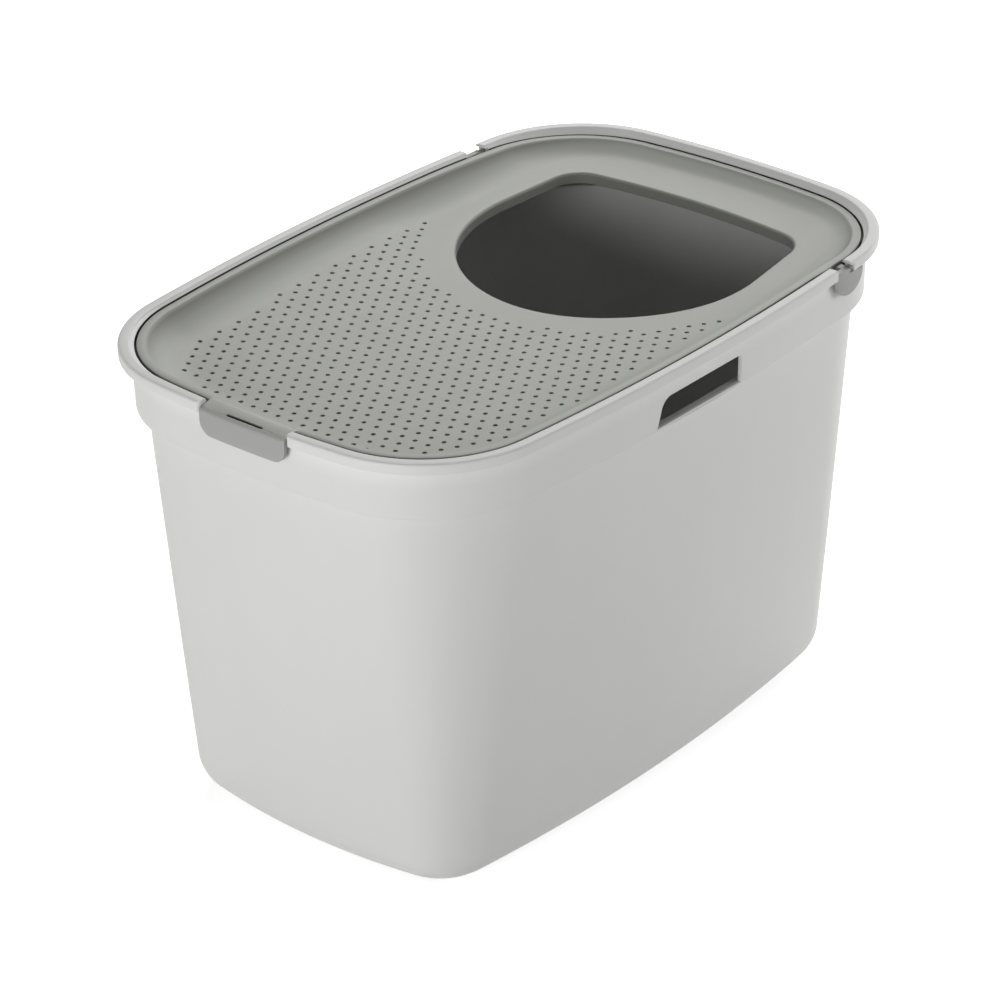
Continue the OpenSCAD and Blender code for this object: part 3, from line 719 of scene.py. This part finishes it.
def makeVentTree():
    tree = bpy.data.node_groups.new("perforateLid", "GeometryNodeTree")
    tree.interface.new_socket("Geometry", in_out="INPUT", socket_type="NodeSocketGeometry")
    for name, value in vents.items():
        s = tree.interface.new_socket(name, in_out="INPUT", socket_type="NodeSocketFloat")
        s.default_value = value * mm
    s = tree.interface.new_socket("Material", in_out="INPUT", socket_type="NodeSocketMaterial")
    tree.interface.new_socket("Geometry", in_out="OUTPUT", socket_type="NodeSocketGeometry")
    inp, out = tree.nodes.new("NodeGroupInput"), tree.nodes.new("NodeGroupOutput")

    def calc(kind, a, b=None):
        m = tree.nodes.new("ShaderNodeMath")
        m.operation = kind
        for i, v in enumerate((a, b)):
            if v is None:
                continue
            if isinstance(v, (int, float)):
                m.inputs[i].default_value = v
            else:
                link(tree, v, m.inputs[i])
        return m.outputs[0]

    columns, rows = ventGrid["columns"], ventGrid["rows"]
    pitch = inp.outputs["Pitch"]
    colStep = calc("MULTIPLY", pitch, math.sin(math.radians(60)))
    grid = tree.nodes.new("GeometryNodeMeshGrid")
    grid.inputs["Vertices X"].default_value = columns
    grid.inputs["Vertices Y"].default_value = rows
    link(tree, calc("MULTIPLY", colStep, columns - 1.0), grid.inputs["Size X"])
    link(tree, calc("MULTIPLY", pitch, rows - 1.0), grid.inputs["Size Y"])
    pos = tree.nodes.new("GeometryNodeInputPosition")
    xyz = tree.nodes.new("ShaderNodeSeparateXYZ")
    link(tree, pos.outputs["Position"], xyz.inputs["Vector"])
    # columns -17 to 13, so the grid's middle is column -2; even columns sit half a pitch up
    column = calc("ROUND", calc("DIVIDE", xyz.outputs["X"], colStep))
    even = calc("SUBTRACT", 1.0, calc("ABSOLUTE", calc("MODULO", column, 2.0)))
    start = calc("SUBTRACT", inp.outputs["First Column"], calc("MULTIPLY", colStep, ventGrid["middle"]))
    x = calc("ADD", xyz.outputs["X"], start)
    y = calc("ADD", xyz.outputs["Y"], calc("MULTIPLY", even, calc("MULTIPLY", pitch, 0.5)))
    place = tree.nodes.new("ShaderNodeCombineXYZ")
    link(tree, x, place.inputs["X"])
    link(tree, y, place.inputs["Y"])
    place.inputs["Z"].default_value = ventGrid["height"] * mm
    move = tree.nodes.new("GeometryNodeSetPosition")
    link(tree, grid.outputs["Mesh"], move.inputs["Geometry"])
    link(tree, place.outputs["Vector"], move.inputs["Position"])

    # which of them are in the field
    pos2 = tree.nodes.new("GeometryNodeInputPosition")
    at = tree.nodes.new("ShaderNodeSeparateXYZ")
    link(tree, pos2.outputs["Position"], at.inputs["Vector"])
    px, py = at.outputs["X"], calc("ABSOLUTE", at.outputs["Y"])
    sideBow = calc("DIVIDE", calc("MULTIPLY", px, px), calc("MULTIPLY", inp.outputs["Side Radius"], 2.0))
    endBow = calc("DIVIDE", calc("MULTIPLY", py, py), calc("MULTIPLY", inp.outputs["End Radius"], 2.0))
    sideOk = calc("LESS_THAN", py, calc("SUBTRACT", inp.outputs["Half Width"], sideBow))
    endOk = calc("GREATER_THAN", px, calc("ADD", inp.outputs["Near End"], endBow))
    farOk = calc("LESS_THAN", px, inp.outputs["Far End"])
    cx = calc("ADD", calc("ADD", inp.outputs["Near End"], inp.outputs["Corner In"]), inp.outputs["Corner"])
    cornerTop = calc("ADD", inp.outputs["Corner Out"], inp.outputs["Corner"])
    cy = calc("SUBTRACT", inp.outputs["Half Width"], cornerTop)
    dx = calc("MAXIMUM", calc("SUBTRACT", cx, px), 0.0)
    dy = calc("MAXIMUM", calc("SUBTRACT", py, cy), 0.0)
    beyond = calc("MULTIPLY", calc("GREATER_THAN", dx, 0.0), calc("GREATER_THAN", dy, 0.0))
    cornerReach = calc("SQRT", calc("ADD", calc("MULTIPLY", dx, dx), calc("MULTIPLY", dy, dy)))
    cornerBad = calc("MULTIPLY", beyond, calc("GREATER_THAN", cornerReach, inp.outputs["Corner"]))
    ex = calc("SUBTRACT", px, (lid["entryNear"] + lid["entryR"]) * mm)
    reach = calc("SQRT", calc("ADD", calc("MULTIPLY", ex, ex), calc("MULTIPLY", py, py)))
    clearOk = calc("GREATER_THAN", reach, calc("ADD", inp.outputs["Margin"], lid["entryR"] * mm))
    keep = calc("MULTIPLY", calc("MULTIPLY", sideOk, endOk), calc("MULTIPLY", farOk, clearOk))
    keep = calc("SUBTRACT", keep, cornerBad)
    isIn = calc("GREATER_THAN", keep, 0.5)

    pin = tree.nodes.new("GeometryNodeMeshCylinder")
    pin.inputs["Vertices"].default_value = ventGrid["pinSides"]
    pin.inputs["Depth"].default_value = ventGrid["pinLength"] * mm
    link(tree, calc("DIVIDE", inp.outputs["Diameter"], 2.0), pin.inputs["Radius"])
    spots = tree.nodes.new("GeometryNodeInstanceOnPoints")
    link(tree, move.outputs["Geometry"], spots.inputs["Points"])
    link(tree, pin.outputs["Mesh"], spots.inputs["Instance"])
    link(tree, isIn, spots.inputs["Selection"])
    real = tree.nodes.new("GeometryNodeRealizeInstances")
    link(tree, spots.outputs["Instances"], real.inputs["Geometry"])
    cut = tree.nodes.new("GeometryNodeMeshBoolean")
    cut.operation = "DIFFERENCE"
    cut.solver = "MANIFOLD"
    link(tree, inp.outputs["Geometry"], cut.inputs["Mesh 1"])
    link(tree, real.outputs["Geometry"], cut.inputs["Mesh 2"])
    whole = tree.nodes.new("GeometryNodeRealizeInstances")
    link(tree, cut.outputs["Mesh"], whole.inputs["Geometry"])
    paint = tree.nodes.new("GeometryNodeSetMaterial")
    link(tree, whole.outputs["Geometry"], paint.inputs["Geometry"])
    link(tree, inp.outputs["Material"], paint.inputs["Material"])
    link(tree, paint.outputs["Geometry"], out.inputs["Geometry"])
    return tree


def setInput(mod, name, value):
    for item in mod.node_group.interface.items_tree:
        if item.item_type == "SOCKET" and item.in_out == "INPUT" and item.name == name:
            mod[item.identifier] = value


def perforate(obj):
    mod = obj.modifiers.new("vents", "NODES")
    mod.node_group = makeVentTree()
    for name, value in vents.items():
        setInput(mod, name, value * mm)
    setInput(mod, "Material", lidPlastic)
    bake(obj)


perforate(lidObj)
print("lid perforated,", len(lidObj.data.polygons), "faces, open edges", openEdges(lidObj))

# sideShade, lipShade and slotShade are painted shade above 0 and painted light below 0
latch = {
    "w": 83.0, "drop": 24.4, "corner": 11.0, "t": 2.5, "lipDrop": 4.0, "lipT": 2.2, "soft": 0.4,
    "lipSoft": 0.15, "foldX": 3.0, "foldGap": 0.25, "foldHalf": 1.0, "endBack": 0.15, "bend": 3.2,
    "slotW": 35.0, "slotT": 3.0, "slotAt": 0.8, "slotDepth": 1.9, "sideShade": 0.55, "lipShade": -0.2,
    "slotShade": 0.97, "catchZ": 17.0, "catchH": 3.0, "catchW": 28.0, "catchOut": 2.2,
    "catchPlay": 0.3, "catchGrip": 1.2, "barbH": 3.2,
}
lipTop = rimTop - latch["lipDrop"]
rimEnd = -litterBox["length"] / 2
foldX = rimEnd + latch["foldX"]
foldLine = foldX + latch["foldHalf"]


def makeLip():
    # the tongue through the rim's notch is part of the lid's moulding
    k = latch
    w = k["w"] / 2
    high, edge = rimTop - lid["beadDrop"] + 0.03, rimEnd + lidIn
    near, far = foldLine + k["foldGap"], edge + lid["t"] + 1
    section = [(near, lipTop - k["lipT"]), (far, lipTop - k["lipT"]), (far, high), (edge + 0.5, high),
               (edge - 1.5, high - 0.5), (near, lipTop)]
    # the lip is paled by painted light
    lip = prism("lip", section, -w, w, axis="y", shade=k["lipShade"])
    softEdges(lip, k["lipSoft"], 50)
    return combine(lip, makeSlot())


def makeSlot():
    # a slot along the fold, with round ends, sunk into the flap and the lip
    k = latch
    half = k["slotT"] / 2
    mid, reach = foldLine + k["slotAt"], k["slotW"] / 2 - half
    slot = arcPoints(mid, reach, half, 0, 180, 8) + arcPoints(mid, -reach, half, 180, 360, 8)
    # the slot's cut walls are painted near black as painted shade
    return prism("slot", slot, lipTop - k["slotDepth"], lipTop + 3, shade=k["slotShade"])


def makeLatch():
    k = latch
    w, t = k["w"] / 2, k["t"]
    bottom = rimTop - k["drop"]
    loops = []
    steps = 48
    for i in range(steps + 1):
        y = -w + 2 * w * i / steps
        face = rimEnd + shortBow(y)
        r = min(k["bend"], foldLine - k["endBack"] - 0.1 - face)
        # section in (x, z): over the top, round the bend, down the face and back up inside
        sec = [(foldLine - k["endBack"], lipTop)]
        sec += [(face + r - r * math.sin(math.radians(a)), lipTop - r + r * math.cos(math.radians(a)))
                for a in range(0, 91, 15)]
        sec += [(face, lipTop - r - (lipTop - r - bottom) * f) for f in (0.33, 0.66, 1.0)]
        sec += [(face + t, bottom), (face + t, lipTop - k["lipT"] - 1), (face + t + 1, lipTop - k["lipT"]),
                (foldLine - k["endBack"], lipTop - k["lipT"])]
        loops.append([(x, y, z) for x, z in sec])
    obj = loft("latch", loops)
    low, high, c = bottom, lipTop + 2, k["corner"]
    shape = [(-w, high), (-w, low + c)] + arcPoints(-w + c, low + c, c, 180, 270, 12)[1:]
    shape += arcPoints(w - c, low + c, c, 270, 360, 12) + [(w, high)]
    # the flap's cut sides get painted shade, a dark outline round its edge
    combine(obj, prism("shape", shape, rimEnd - 5, rimEnd + 15, axis="x", shade=k["sideShade"]), "INTERSECT")
    softEdges(obj, k["soft"], 50)
    combine(obj, makeSlot())
    # the barb behind, which snaps under the tub's catch
    top = rimTop - k["catchZ"] - k["catchH"] - k["catchPlay"]
    tip = rimEnd + tub["collarInset"] - k["catchOut"] + k["catchGrip"]
    back = rimEnd + t - 1
    under = top - k["barbH"]
    barb = [(back, under), (tip - 1.4, under), (tip, top - 1.0), (tip, top), (back, top)]
    combine(obj, prism("barb", barb, -k["catchW"] / 2, k["catchW"] / 2, axis="y"), "UNION")
    # the latch takes the lid's plastic made darker, as painted shade
    return dress(obj, shadedLidPlastic, "latch", "latch_flap")


def makeCatch():
    # the tub's rib over the barb, with a sloping top face that lets the barb ride over it
    k = latch
    top, face = rimTop - k["catchZ"], rimEnd + tub["collarInset"]
    foot, out = top - k["catchH"], face - k["catchOut"]
    rib = [(face + 1, foot), (out, foot), (out, top - 1.6), (face + 1, top)]
    obj = prism("catch", rib, -k["catchW"] / 2, k["catchW"] / 2, axis="y")
    softEdges(obj, 0.3)
    return obj


def dress(obj, plastic, body, node, *more):
    # hands a finished mesh over in place of its solids
    smooth(obj, 34)
    obj.data.materials.clear()
    obj.data.materials.append(plastic)
    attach(obj, body)
    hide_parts(node, *more)
    return obj


combine(lidObj, makeLip(), "UNION")
dress(lidObj, lidPlastic, "lid", "lid", "vent_panel", "entry_panel")
combine(tubObj, makeCatch(), "UNION")
dress(tubObj, tubPlastic, "tub", "tub")
latchObj = makeLatch()
print("lid, catch and latch finished, open edges", openEdges(lidObj), openEdges(tubObj), openEdges(latchObj))

ear = {"r": 17.8, "t": 2.5, "inset": 1.0, "flat": 9.2, "neckTop": 3.9, "soft": 0.5,
       "ledgeL": 16.8, "ledgePast": 1.0, "ledgeD": 5.3}


def makeEar(side, node):
    # a half-round lug outside the collar, and its neck with a flat top
    e = ear
    hx, y1 = tub["hingeX"], faceY(tub["hingeX"], rimTop) + tub["collarInset"] - e["inset"] - 0.05
    top = math.degrees(math.asin((tub["hingeDrop"] - e["flat"]) / e["r"]))
    disc = arcPoints(hx, hingeZ, e["r"], 180 - top, 360 + top, 48)
    obj = prism("ear", disc, *sorted((side * y1, side * (y1 - e["t"]))), axis="y")
    softEdges(obj, e["soft"])
    r = tub["neckR"]
    cut = math.degrees(math.asin(e["neckTop"] / r))
    neck = arcPoints(hx, hingeZ, r, 180 - cut, 360 + cut, 30)
    # the neck runs in until it meets the lid's edge
    reach = litterBox["width"] / 2 - longBow(hx) - lidIn - 0.02
    neckObj = prism("neck", neck, *sorted((side * (y1 - e["t"] / 2), side * reach)), axis="y")
    softEdges(neckObj, 0.3)
    combine(obj, neckObj, "UNION")
    # a ledge on the ear fills the rim's gap, outside the collar
    ledge = boxOutline(hx - e["ledgeL"], side * (y1 - e["ledgeD"]), hx + e["ledgePast"], side * y1)
    ledgeObj = prism("ledge", ledge, rimTop - e["flat"] - 1.5, hingeZ + e["neckTop"] + 0.2)
    softEdges(ledgeObj, 0.3)
    combine(obj, ledgeObj, "UNION")
    # the ear takes the lid's plastic made darker, as painted shade
    return dress(obj, shadedLidPlastic, "lid", node)


def longBow(x):
    half, bow = litterBox["length"] / 2, litterBox["bow"]
    r = (half * half + bow * bow) / (2 * bow)
    return r - math.sqrt(r * r - x * x)


for side, node in ((1, "ear_left"), (-1, "ear_right")):
    makeEar(side, node)
print("ears made")


view = {
    "focal": 4090.166, "azimuth": -49.47, "elevation": 28.14, "distance": 3200.0,
    "target": (-1.88, 10.68, 192.93), "roll": -1.16, "frame": 1000.0, "sensor": 36.0,
}
light = {"world": 0.15, "floorGlow": 0.62, "floorNear": 0.6, "floorFar": 1.8, "lampSize": 1.6}
lamps = {
    "lowKey": {"place": (-3.0, -0.5, 0.6), "aim": 0.2, "power": 53.5},
    "backTop": {"place": (1.6, 1.2, 2.2), "aim": 0.3, "power": 36.4},
    "rightFill": {"place": (2.4, -2.2, 1.0), "aim": 0.2, "power": 40.7},
    "farFill": {"place": (2.8, 0.4, 1.6), "aim": 0.3, "power": 17.2},
}


def seenRays(tree):
    # 1 for what the camera, a gloss or a clear part sees, 0 for what lights the object
    path = tree.nodes.new("ShaderNodeLightPath")
    seen = path.outputs["Is Camera Ray"]
    for name in ("Is Glossy Ray", "Is Transmission Ray"):
        most = tree.nodes.new("ShaderNodeMath")
        most.operation = "MAXIMUM"
        link(tree, seen, most.inputs[0])
        link(tree, path.outputs[name], most.inputs[1])
        seen = most.outputs[0]
    return seen


def makeFloor():
    bm = bmesh.new()
    bmesh.ops.create_grid(bm, x_segments=1, y_segments=1, size=6)
    obj = finishMesh(bm, "floor")
    mat = bpy.data.materials.new("paleFloor")
    mat.use_nodes = True
    tree = mat.node_tree
    shader = tree.nodes["Principled BSDF"]
    shader.inputs["Base Color"].default_value = (0.86, 0.86, 0.86, 1)
    shader.inputs["Roughness"].default_value = 0.9
    shader.inputs["Emission Color"].default_value = (1, 1, 1, 1)
    glow = tree.nodes.new("ShaderNodeMath")
    glow.operation = "MULTIPLY"
    # the floor pales towards its far edge, where the lamps fall off
    place = tree.nodes.new("ShaderNodeTexCoord")
    far = tree.nodes.new("ShaderNodeVectorMath")
    far.operation = "LENGTH"
    link(tree, place.outputs["Object"], far.inputs[0])
    rise = tree.nodes.new("ShaderNodeMapRange")
    rise.inputs["From Min"].default_value = light["floorNear"]
    rise.inputs["From Max"].default_value = light["floorFar"]
    rise.inputs["To Min"].default_value = light["floorGlow"]
    link(tree, far.outputs["Value"], rise.inputs["Value"])
    link(tree, seenRays(tree), glow.inputs[0])
    link(tree, rise.outputs["Result"], glow.inputs[1])
    link(tree, glow.outputs[0], shader.inputs["Emission Strength"])
    obj.data.materials.append(mat)


def makeWorld():
    world = bpy.data.worlds.new("studio")
    bpy.context.scene.world = world
    world.use_nodes = True
    tree = world.node_tree
    tree.nodes.clear()
    out = tree.nodes.new("ShaderNodeOutputWorld")
    soft, white = tree.nodes.new("ShaderNodeBackground"), tree.nodes.new("ShaderNodeBackground")
    soft.inputs["Color"].default_value = (1, 1, 1, 1)
    soft.inputs["Strength"].default_value = light["world"]
    white.inputs["Color"].default_value = (1, 1, 1, 1)
    white.inputs["Strength"].default_value = 1.0
    mix = tree.nodes.new("ShaderNodeMixShader")
    link(tree, seenRays(tree), mix.inputs["Fac"])
    link(tree, soft.outputs[0], mix.inputs[1])
    link(tree, white.outputs[0], mix.inputs[2])
    link(tree, mix.outputs[0], out.inputs["Surface"])


def areaLamp(name, place, aim, power):
    # a round soft lamp that looks at some height over the origin
    data = bpy.data.lights.new(name, "AREA")
    data.shape = "DISK"
    data.size = light["lampSize"]
    data.energy = power
    obj = bpy.data.objects.new(name, data)
    bpy.context.scene.collection.objects.link(obj)
    obj.location = place
    obj.rotation_euler = (Vector((0, 0, aim)) - Vector(place)).to_track_quat("-Z", "Y").to_euler()


def makeCamera():
    a, e, r = (math.radians(view[k]) for k in ("azimuth", "elevation", "roll"))
    back = Vector((math.sin(a) * math.cos(e), -math.cos(a) * math.cos(e), math.sin(e)))
    right = (-back).cross(Vector((0, 0, 1))).normalized()
    up = right.cross(-back)
    right, up = math.cos(r) * right + math.sin(r) * up, -math.sin(r) * right + math.cos(r) * up
    data = bpy.data.cameras.new("camera")
    data.sensor_width = view["sensor"]
    data.lens = view["focal"] / view["frame"] * view["sensor"]
    data.clip_end = 50
    obj = bpy.data.objects.new("camera", data)
    bpy.context.scene.collection.objects.link(obj)
    turn = Matrix((right, up, back)).transposed().to_4x4()
    obj.matrix_world = Matrix.Translation((Vector(view["target"]) + back * view["distance"]) * mm) @ turn
    bpy.context.scene.camera = obj


makeFloor()
makeWorld()
for name, lamp in lamps.items():
    areaLamp(name, **lamp)
makeCamera()
bpy.context.scene.view_settings.view_transform = "Standard"
print("stage ready")
